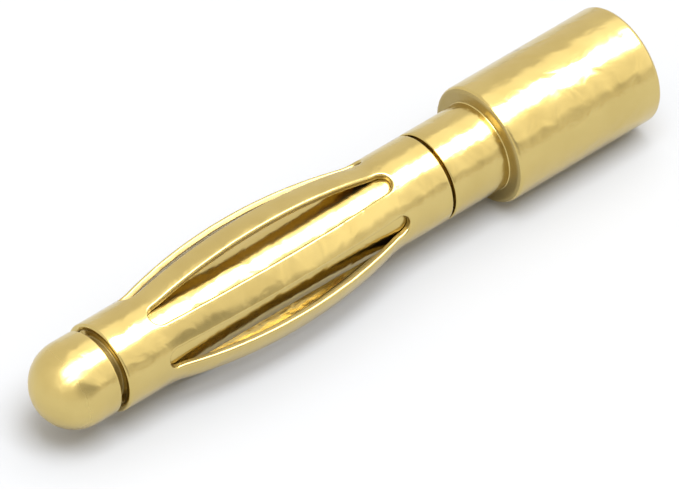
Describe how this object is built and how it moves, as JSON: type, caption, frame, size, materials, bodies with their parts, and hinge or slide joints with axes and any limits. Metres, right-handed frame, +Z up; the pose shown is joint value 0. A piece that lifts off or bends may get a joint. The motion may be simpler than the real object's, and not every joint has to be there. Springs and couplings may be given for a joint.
{
  "type": "sprung bullet plug",
  "caption": "Gold-plated bullet plug with a ball nose, a slotted and bowed spring cage on its core, and a solder cup that takes a battery lead.",
  "frame": {"origin": "centre of the bounding box's bottom face, on the surface that the plug lies on", "axes": "+X along the plug's axis, from the nose towards the solder cup; +Z up from the surface; +Y across, so that the view in the picture is from the -Y side"},
  "size_m": [0.026, 0.0046, 0.0046],
  "materials": {
    "pin_gold": "gold plated over turned brass, polished",
    "cage_gold": "gold plated over spring sheet, polished, with die-rolled edges"
  },
  "bodies": {
    "root": {"pin": "pin_gold", "spring_cage": "cage_gold"}
  },
  "joints": []
}
